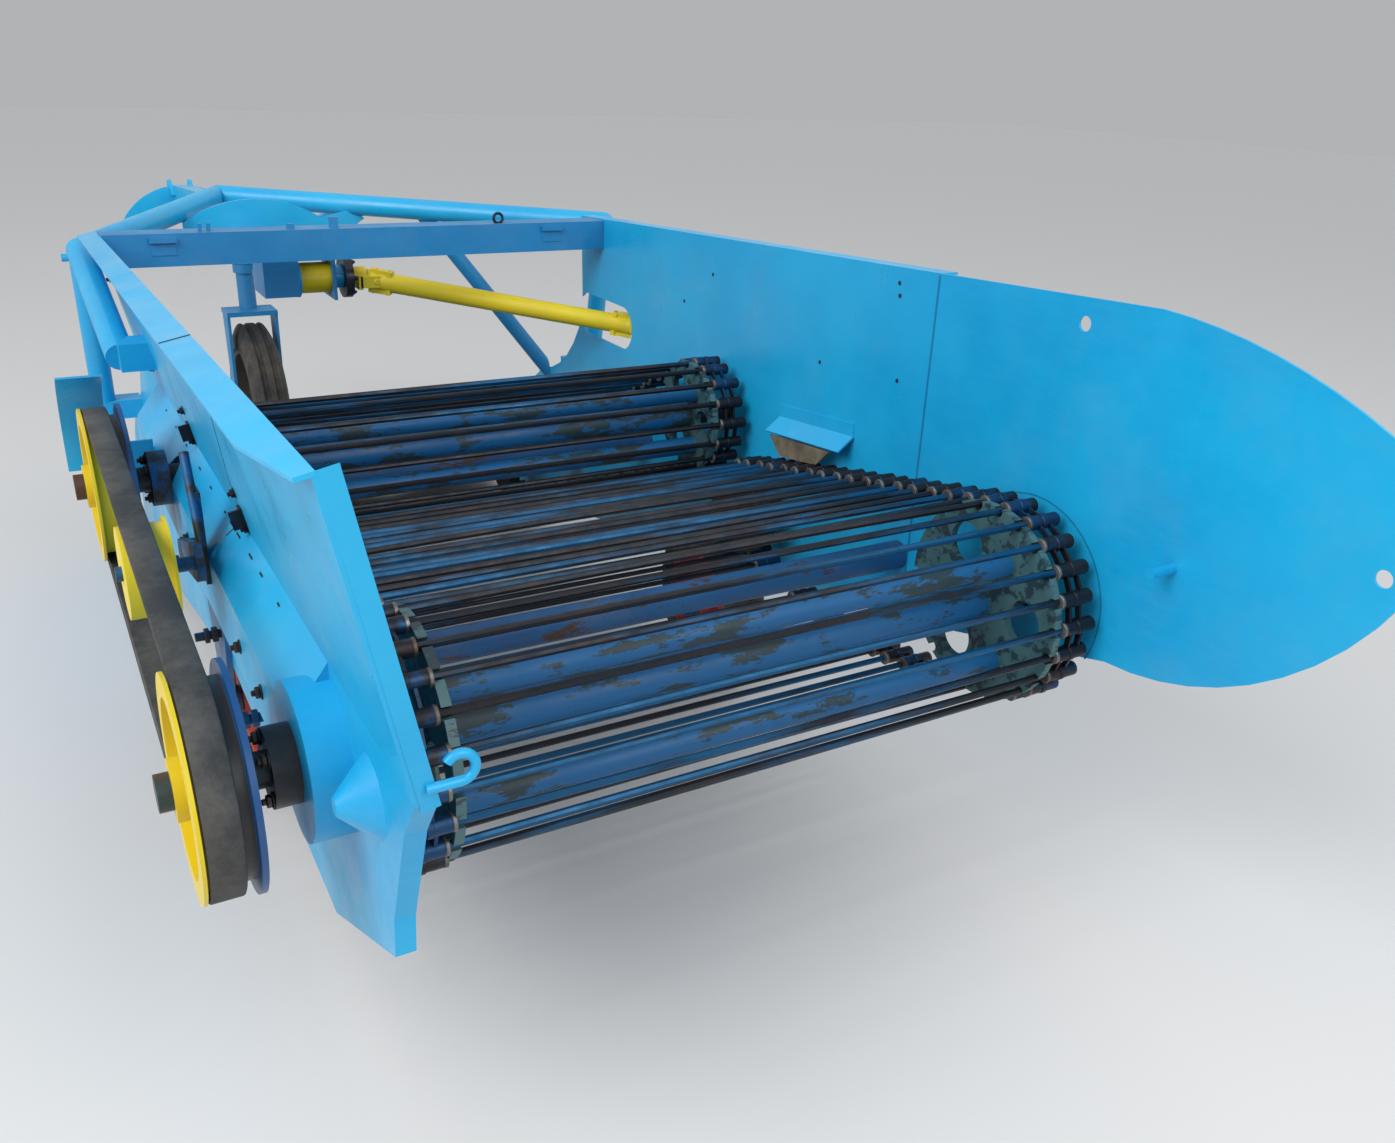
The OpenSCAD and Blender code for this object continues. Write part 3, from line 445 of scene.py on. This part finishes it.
# %% Rods, sleeves and links
def rod_web(node, a, b, sag, seed):
    """All the rods, sleeves, rings and links of one web. A rod leaves its straight line by its own random amount
    * cos(y / end * pi / 2), once outwards and once along the path, so its ends stay in place."""
    rng = np.random.default_rng(seed)
    whole = loop_path(a, b, np.zeros(1))[2]
    count = int(round(whole / rod_pitch))
    middle, out, _ = loop_path(a, b, np.arange(count) * whole / count, sag)
    ahead = np.stack([out[:, 1], -out[:, 0]], -1)
    end = half_bed - 0.026
    y = np.linspace(-end, end, 15)
    t = np.arange(8) * 2 * np.pi / 8
    wave = np.cos(y / end * np.pi / 2)[None]
    bow_out = rng.normal(0, 0.0020, count)[:, None] * wave
    bow_on = rng.normal(0, 0.0028, count)[:, None] * wave
    centre = middle[:, None] + out[:, None] * bow_out[..., None] + ahead[:, None] * bow_on[..., None]
    ring = (np.cos(t)[:, None, None] * out + np.sin(t)[:, None, None] * ahead) * rod_d / 2
    xz = centre[:, :, None] + ring.transpose(1, 0, 2)[:, None]
    points = np.stack([xz[..., 0], np.broadcast_to(y[None, :, None], xz.shape[:3]), xz[..., 1]], -1)
    build(node + "_rods", together(*[skin(rod - shift) for rod in points]), rod_steel, stands_for=(node,))

    # Sleeves and links shift sideways at every second rod, so that the links of neighbours pass each other
    stagger = 0.006
    sleeve = together(stick(0.0130, 0.0, 0.070, 12, 0.002), stick(0.0145, 0.030, 0.040, 12, 0.001))
    places = []
    for side in (1, -1):
        for k in range(count):
            start = side * (half_bed - 0.092 - (0.0 if k % 2 else stagger))
            places.append(place(at(middle[k, 0], start, middle[k, 1]), (0, side, 0), (out[k, 0], 0, out[k, 1])))
    build(node + "_sleeves", repeated(sleeve, places), sleeve_steel)
    build(node + "_rings", repeated(stick(0.0138, -0.001, 0.005, 12, 0.0008), places), ring_steel)

    link_w, link_t = 0.010, 0.005
    box_y = np.array([-1, 1, 1, -1]) * link_t / 2
    box_out = np.array([-1, -1, 1, 1]) * link_w / 2
    bars = []
    for side in (1, -1):
        for k in range(count):
            pair = (k, (k + 1) % count)
            lift = (out[pair[0]] + out[pair[1]]) / 2
            for inset in (0.045, 0.068):
                link_y = side * (half_bed - inset - (stagger if k % 2 else 0.0))
                rims = [middle[i][None] + box_out[:, None] * lift[None] for i in pair]
                bars.append(skin(np.array([np.stack([rim[:, 0], link_y + box_y, rim[:, 1]], -1) - shift
                                           for rim in rims])))
    build(node + "_links", together(*bars), sleeve_steel)
    return count


print("rear web", rod_web("rear_web", rear_roll, tail_roll, rear_slack, 3), "rods")
print("digging web", rod_web("digging_web", front_roll, nose_roll, 0.0, 5), "rods")

# %% [markdown]
# The belt is a wide flat one with a slightly narrower back, as on a V belt. Its profile is carried round the
# two pulleys on the same kind of loop path as the webs.

# %% Drive belt
belt_y, belt_w, belt_t, pulley_d, belt_steps = half_bed + 0.150, 0.044, 0.016, 0.300, 420
belt_r = (pulley_d - belt_t) / 2
belt_rolls = np.array([rear_x, rear_z, belt_r]), np.array([front_x, front_z, belt_r])
belt_length = loop_path(*belt_rolls, np.zeros(1))[2]
belt_middle, belt_out, _ = loop_path(*belt_rolls, np.arange(belt_steps) * belt_length / belt_steps)
across = np.array([0.003, 0.0, 0.001, 0.003, belt_w - 0.003, belt_w - 0.001, belt_w, belt_w - 0.003])
height = np.array([-1.0, 0.55, 0.85, 1.0, 1.0, 0.85, 0.55, -1.0]) * belt_t / 2
rim = belt_middle[:, None] + belt_out[:, None] * height[None, :, None]
belt_points = np.stack([rim[..., 0], np.broadcast_to(belt_y + across, rim.shape[:2]), rim[..., 1]], -1) - shift
build("drive_belt_strap", skin(belt_points, round_end=True), belt_rubber, stands_for=("drive_belt",))

# %% [markdown]
# A farm tyre is a turned shape whose crown is cut into bars. The radius on the crown therefore depends on
# the angle: raised bars lean one way on the left half and the other way on the right half.

# %% Tyres
tread_depth, bead_depth = 0.010, 0.008


def tyre(node, body, radius, width, rim_radius, bars):
    """Radius = side wall profile + bar height on the crown, where the bars are the raised half of a wave in
    angle that leans with the distance from the middle. With no bars, the crown has three ribs round it."""
    low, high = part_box(node)
    centre = (np.array(low) + np.array(high)) / 2
    v = np.linspace(0, 1, 33 if bars else 65)
    side = np.sin(np.pi * v)
    y = (-np.cos(np.pi * v) * width / 2 * (1 - 0.08 * side ** 2))[:, None]
    wall = rim_radius + (radius - tread_depth - rim_radius) * np.clip(side * 1.25, 0, 1) ** 0.55
    steps = bars * 12 or 120
    t = np.arange(steps) * 2 * np.pi / steps
    lugs = np.sin(bars * t[None] + np.abs(y) / width * 5.0 + (y > 0) * np.pi)
    ribs = np.cos(y / width * 6 * np.pi) + 0.2 + 0 * t[None]
    crown = np.clip((side[:, None] - 0.55) * 5, 0, 1)
    r = wall[:, None] + tread_depth * crown * np.clip((lugs if bars else ribs) * 5 + 0.6, 0, 1)
    inner = np.full((1, steps), rim_radius - bead_depth)
    rings = [np.stack([q * np.cos(t), np.broadcast_to(w, q.shape), q * np.sin(t)], -1) + centre
             for q, w in ((r, y), (inner, 0.0))]
    tread = skin(np.concatenate(rings), round_end=True)
    build(node + "_tread", tread, tyre_rubber, body, soft_angle=0.8, stands_for=(node,))


tyre("left_tyre", "wheel_left", radius=0.215, width=0.100, rim_radius=0.147, bars=24)
tyre("right_tyre", "wheel_right", radius=0.215, width=0.100, rim_radius=0.147, bars=24)
tyre("gauge_tyre", "gauge_wheel", radius=0.290, width=0.120, rim_radius=0.203, bars=0)

# %% [markdown]
# Bolts hold a farm machine together, and they catch the eye because paint skips them. One bolt is a washer,
# a six-sided head and a stub. Tables list where they sit: on the leaning board, along both rails and round
# the four bearings.

# %% Bolts
bolt = together(stick(0.0115, 0.0, 0.0025, 16, 0.0004), stick(0.0088, 0.0025, 0.0095, 6, 0.0012),
                stick(0.0045, 0.0090, 0.0150, 10, 0.0008))
small_bolt = (bolt[0] * 0.8, bolt[1])
lean = np.radians(12)
board_out = np.array([0.0, np.cos(lean), -np.sin(lean)])
board_up = np.array([0.0, np.sin(lean), np.cos(lean)])


def on_board(x, z):
    """A place on the left sheet's leaning board: z is the height there, and y follows the lean."""
    return at(x, outer_face + (z - fold_z) * np.tan(lean), z)


def round_axle(x, y, z, radius, angles):
    """Places on a circle round an axle that runs along y."""
    return [at(x + radius * np.cos(a), y, z + radius * np.sin(a)) for a in angles]


bolt_places = [place(on_board(x, z), board_out) for x, z in ((1.58, 0.800), (1.72, 1.010), (1.86, 0.960))]
rail_bolt_z, rail_face, bearing_face = 0.640, outer_face + 0.055, outer_face + 0.090
for side in (1, -1):
    bolt_places += [place(at(x, side * rail_face, rail_bolt_z), (0, side, 0)) for x in (1.25, 1.45, 0.36, 0.86, 0.20)]
    for x, z in ((rear_x, rear_z), (front_x, front_z)):
        bolt_places += [place(spot, (0, side, 0)) for spot in
                        round_axle(x, side * bearing_face, z, 0.043, np.radians([45, 135, 225, 315]))]
build("frame_bolts", repeated(bolt, bolt_places), bolt_steel)

# %% [markdown]
# Two latches sit just above the fold of the left board. Each is a bent lug with a bolt above it and one
# below. Bigger bolts stand out from the sheet under the rail.

# %% Latches and long bolts
def slab(low, high):
    """A box between two corners."""
    low, high = np.array(low, float), np.array(high, float)
    pick = np.array([(0, 0), (1, 0), (1, 1), (0, 1)])
    ends = [np.stack([np.where(pick[:, 0], high[0], low[0]), np.where(pick[:, 1], high[1], low[1]),
                      np.full(4, z)], -1) for z in (low[2], high[2])]
    return skin(np.array(ends))


lug = together(slab((-0.012, -0.016, 0.0), (0.012, 0.016, 0.005)),
               slab((-0.012, -0.016, 0.004), (-0.007, 0.016, 0.022)))
latches = []
for x, z in ((1.015, 0.798), (0.497, 0.797)):
    latches.append(repeated(lug, [place(on_board(x, z + 0.006), board_out)]))
    latches.append(repeated(small_bolt, [place(on_board(x + 0.004, z + rise), board_out) for rise in (0.045, -0.018)]))
build("board_latches", together(*latches), sleeve_steel)

long_bolt = together(stick(0.020, 0.0, 0.004, 16, 0.001), stick(0.009, 0.0, 0.062, 12, 0.001),
                     stick(0.0155, 0.018, 0.030, 6, 0.0015), stick(0.0155, 0.034, 0.044, 6, 0.0015))
long_table = ((1, 0.93, 0.400), (1, 0.52, 0.420), (1, 1.30, 0.420), (-1, 0.93, 0.400), (-1, 0.52, 0.420))
long_places = [place(at(x, side * outer_face, z), (0, side, 0)) for side, x, z in long_table]
build("long_bolts", repeated(long_bolt, long_places), sleeve_steel)

# %% [markdown]
# Sheets are joined and patched with welds and slots, which show as thin lines. Each line is a flat strip
# that follows its points and stands less than a millimetre off the sheet.

# %% Seams, slots and rivets
def followed(path):
    """The path's points, and at each one the direction in which it goes on."""
    points = np.array(path, float)
    ahead = np.gradient(points, axis=0)
    return points, ahead / np.linalg.norm(ahead, axis=1)[:, None]


def strip(path, out, width, lift=0.0005):
    """A flat bar along a path on a face that looks along out. At each point the section is a box: width
    across the line, and lift above and below the face."""
    p, ahead = followed(path)
    side = np.cross(ahead, out) * width / 2
    up = np.array(out, float)[None] * lift
    return skin(np.stack([p - side - up, p + side - up, p + side + up, p - side + up], 1))


# The left rail's upper slope goes 0.55 out and 0.75 down on a length of 0.93
slope_out, slope_down, slope_length = 0.55, 0.75, 0.93
rail_out = np.array([0.0, slope_down, slope_out]) / np.hypot(slope_down, slope_out)


def on_rail(x, down):
    """A place on the left rail's upper slope, down metres from the fold."""
    return at(x, outer_face + down * slope_out / slope_length, fold_z - down * slope_down / slope_length)


seam = [on_board(0.333, 1.075), on_board(0.420, 0.990), on_board(0.507, 0.880), on_board(0.560, 0.780)]
lines = [strip(seam, board_out, 0.0030), strip([on_rail(0.566, 0.004), on_rail(0.590, 0.040)], rail_out, 0.0030)]
slot_table = [(1.36, 0.012), (1.22, 0.011), (1.08, 0.016), (0.92, 0.020), (0.80, 0.018), (0.66, 0.012),
              (0.60, 0.026), (0.54, 0.030), (0.44, 0.026), (0.36, 0.020), (0.24, 0.014)]
lines += [strip([on_rail(x - length / 2, 0.020), on_rail(x + length / 2, 0.020)], rail_out, 0.0035)
          for x, length in slot_table]
# The board's top lip rises towards the rear, and a crack runs across it
lip_start_x, lip_start_z, lip_slope, crack_x = 1.935, 1.070, 0.0444, 0.330
lip_up = (lip_start_z + (lip_start_x - crack_x) * lip_slope - fold_z) * board_up
crack = [at(crack_x + 0.2 * (off - 0.02) ** 2, half_bed, fold_z) + off * board_out + lip_up
         for off in (0.0, 0.015, 0.030, 0.0425)]
lines.append(strip(crack, board_up, 0.0035, 0.0008))
build("left_seams", together(*lines), shadow_line)

right_out = np.array([0.0, 1.0, 0.0])
scar = round_axle(rear_x, -half_bed, 0.640, 0.175, np.radians(np.linspace(62, 205, 40)))
sheet_seam = [at(0.330, -half_bed, z) for z in np.linspace(0.440, 1.150, 12)]
build("right_welds", together(strip(sheet_seam, right_out, 0.0045, 0.0009), strip(scar, right_out, 0.0030)),
      weld_blue)
rivet_table = ((0.445, 1.117), (0.440, 1.093), (0.688, 0.905), (0.422, 0.926), (1.16, 1.02), (1.30, 0.93))
rivets = [place(at(x, -half_bed, z), right_out) for x, z in rivet_table]
build("right_rivets", repeated(stick(0.0045, -0.0005, 0.0010, 12, 0.0003), rivets), shadow_line)

# %% [markdown]
# The cross beam carries two folded brackets on its rear face. An eye and four small tabs stand on its top.

# %% Brackets, eye and tabs
beam_face, beam_top = 1.780, 1.073
bracket = together(slab((-0.031, -0.006, 0.0), (0.031, 0.006, 0.011)),
                   slab((-0.029, 0.006, 0.0), (0.029, 0.036, 0.002)))
bracket_places = [place(at(beam_face, y, 1.058), (-1, 0, 0), (0, 1, 0)) for y in (0.555, -0.460)]
tab_x, tab_table = 0.032, ((0.463, 0.004, 0.018), (0.443, 0.004, 0.018), (0.246, 0.009, 0.012), (0.137, 0.011, 0.026))
tabs = [slab(at(beam_face + tab_x - 0.006, y - half_width, beam_top),
             at(beam_face + tab_x + 0.006, y + half_width, beam_top + rise)) for y, half_width, rise in tab_table]
build("beam_brackets", together(repeated(bracket, bracket_places), *tabs), beam_paint)


def ring_bar(centre, axis, big, small, n=24, m=10):
    """A round bar bent to a ring: centre + (big + small cos v) * radial + small sin v * axis."""
    block = place(centre, axis)
    u = np.arange(n) * 2 * np.pi / n
    v = np.arange(m) * 2 * np.pi / m
    radial = np.cos(u)[:, None] * block[0] + np.sin(u)[:, None] * block[1]
    rings = (centre + (big + small * np.cos(v))[None, :, None] * radial[:, None]
             + (small * np.sin(v))[None, :, None] * block[2])
    return skin(rings, round_end=True)


eye_place = at(beam_face + 0.020, -0.310, beam_top + 0.013)
build("beam_eye", ring_bar(eye_place, (1.0, 0.0, 0.0), 0.013, 0.004), sleeve_steel)

# %% [markdown]
# A small hook is welded to the rear face of the left sheet's rear lip. It is one bent round bar: a straight
# piece that runs inwards from the lip, and two thirds of a circle that curls up from its end.

# %% Rear hook
def bent_bar(path, flat, radius, sides=14):
    """A round bar along a path in the plane across flat. Each ring is the point + radius * (cos v * side +
    sin v * flat), where side is at right angles to the path."""
    p, ahead = followed(path)
    side = np.cross(ahead, flat)
    v = np.arange(sides) * 2 * np.pi / sides
    return skin(p[:, None] + radius * (np.cos(v)[None, :, None] * side[:, None]
                                       + np.sin(v)[None, :, None] * np.array(flat, float)))


hook_x, hook_z, hook_y, curl_r = -0.3665, 0.790, 0.580, 0.017
hook_path = [at(hook_x, y, hook_z) for y in np.linspace(hook_y + 0.038, hook_y + 0.002, 6)]
hook_path += [at(hook_x, hook_y + curl_r * np.cos(a), hook_z + curl_r + curl_r * np.sin(a))
              for a in np.radians(np.linspace(-90, -325, 26))]
build("rear_hook_bar", bent_bar(hook_path, (1.0, 0.0, 0.0), 0.006), blue_paint, stands_for=("rear_hook",))

# %% [markdown]
# The cross drive shaft ends in a universal joint at each side. A joint is two forks at right angles that
# hold one cross. The clutch's black disc is held by a ring of bolts, and the gearbox has a round flange.

# %% Universal joints, clutch bolts and flange
shaft_start, shaft_end = at(gear_x, -0.026, gear_z - 0.016), at(1.700, -0.670, 0.785)
shaft_way = (shaft_end - shaft_start) / np.linalg.norm(shaft_end - shaft_start)
fork = together(slab((0.022, -0.016, -0.010), (0.033, 0.016, 0.046)),
                slab((-0.033, -0.016, -0.010), (-0.022, 0.016, 0.046)),
                slab((-0.033, -0.020, 0.040), (0.033, 0.020, 0.052)))
cross = skin(turned([(0.007, -0.036), (0.009, -0.034), (0.009, 0.034), (0.007, 0.036)], 12))
joints = []
for centre, sign in ((shaft_start, 1.0), (shaft_end, -1.0)):
    inner = place(centre, shaft_way * sign, (0.0, 0.0, 1.0))
    outer = place(centre, (0.0, sign, 0.0), (1.0, 0.0, 0.0))
    joints += [repeated(fork, [inner, outer]),
               repeated(cross, [place(centre, inner[0]), place(centre, outer[0])])]
build("shaft_joints", together(*joints), yellow_paint)
clutch_bolts = [place(spot, (0, -1, 0)) for spot in round_axle(gear_x, 0.043, gear_z, 0.048, np.arange(6) * np.pi / 3)]
build("clutch_bolts", repeated(small_bolt, clutch_bolts), sleeve_steel)
flange = repeated(stick(0.052, 0.0, 0.010, 40, 0.0015), [place(at(gear_x, 0.186, gear_z), (0, 1, 0))])
build("gearbox_flange", flange, blue_paint)

# %% [markdown]
# The floor is a plain pale sheet. A wide lamp high on the machine's left gives soft shadows. A weaker one
# behind the machine and an even pale world fill them. Seen directly, the world has the tone of the far
# floor, so no horizon shows.

# %% Floor, lamps and world
floor_finish, _, floor_shader = start_finish("floor")
floor_tone = 0.62
floor_shader.inputs["Base Color"].default_value = (floor_tone, floor_tone, floor_tone, 1)
floor_shader.inputs["Roughness"].default_value = 0.9
floor_mesh = bpy.data.meshes.new("floor")
floor_half = 30
floor_mesh.from_pydata([(-floor_half, -floor_half, 0), (floor_half, -floor_half, 0), (floor_half, floor_half, 0),
                        (-floor_half, floor_half, 0)], [], [(0, 1, 2, 3)])
floor_mesh.materials.append(floor_finish)
floor = bpy.data.objects.new("floor", floor_mesh)
bpy.context.scene.collection.objects.link(floor)


def lamp(name, where, aim, size, power):
    """A square lamp at where that shines towards aim. Its own z axis points back, away from what it lights."""
    data = bpy.data.lights.new(name, "AREA")
    data.shape = "SQUARE"
    data.size = size
    data.energy = power
    light = bpy.data.objects.new(name, data)
    bpy.context.scene.collection.objects.link(light)
    stand(light, place(where, np.array(where, float) - np.array(aim, float))[:3], where)


lamp("key_lamp", (-2.5, 5.0, 5.0), (0, 0, 0.5), size=4.0, power=330)
lamp("rear_lamp", (-5.5, -1.5, 4.0), (0, 0, 0.6), size=4.0, power=150)
sky_tone, sky_power, far_floor = (0.86, 0.88, 0.90), 0.80, 1.03
world = bpy.data.worlds.new("pale_world")
world.use_nodes = True
sky = world.node_tree
sky.nodes["Background"].inputs["Color"].default_value = (*sky_tone, 1)
sky.nodes["Background"].inputs["Strength"].default_value = sky_power
seen = sky.nodes.new("ShaderNodeBackground")
seen.inputs["Color"].default_value = (*sky_tone, 1)
seen.inputs["Strength"].default_value = sky_power * floor_tone * far_floor
rays, either = sky.nodes.new("ShaderNodeLightPath"), sky.nodes.new("ShaderNodeMixShader")
sky.links.new(rays.outputs["Is Camera Ray"], either.inputs["Fac"])
sky.links.new(sky.nodes["Background"].outputs["Background"], either.inputs[1])
sky.links.new(seen.outputs["Background"], either.inputs[2])
sky.links.new(either.outputs["Shader"], sky.nodes["World Output"].inputs["Surface"])
bpy.context.scene.world = world
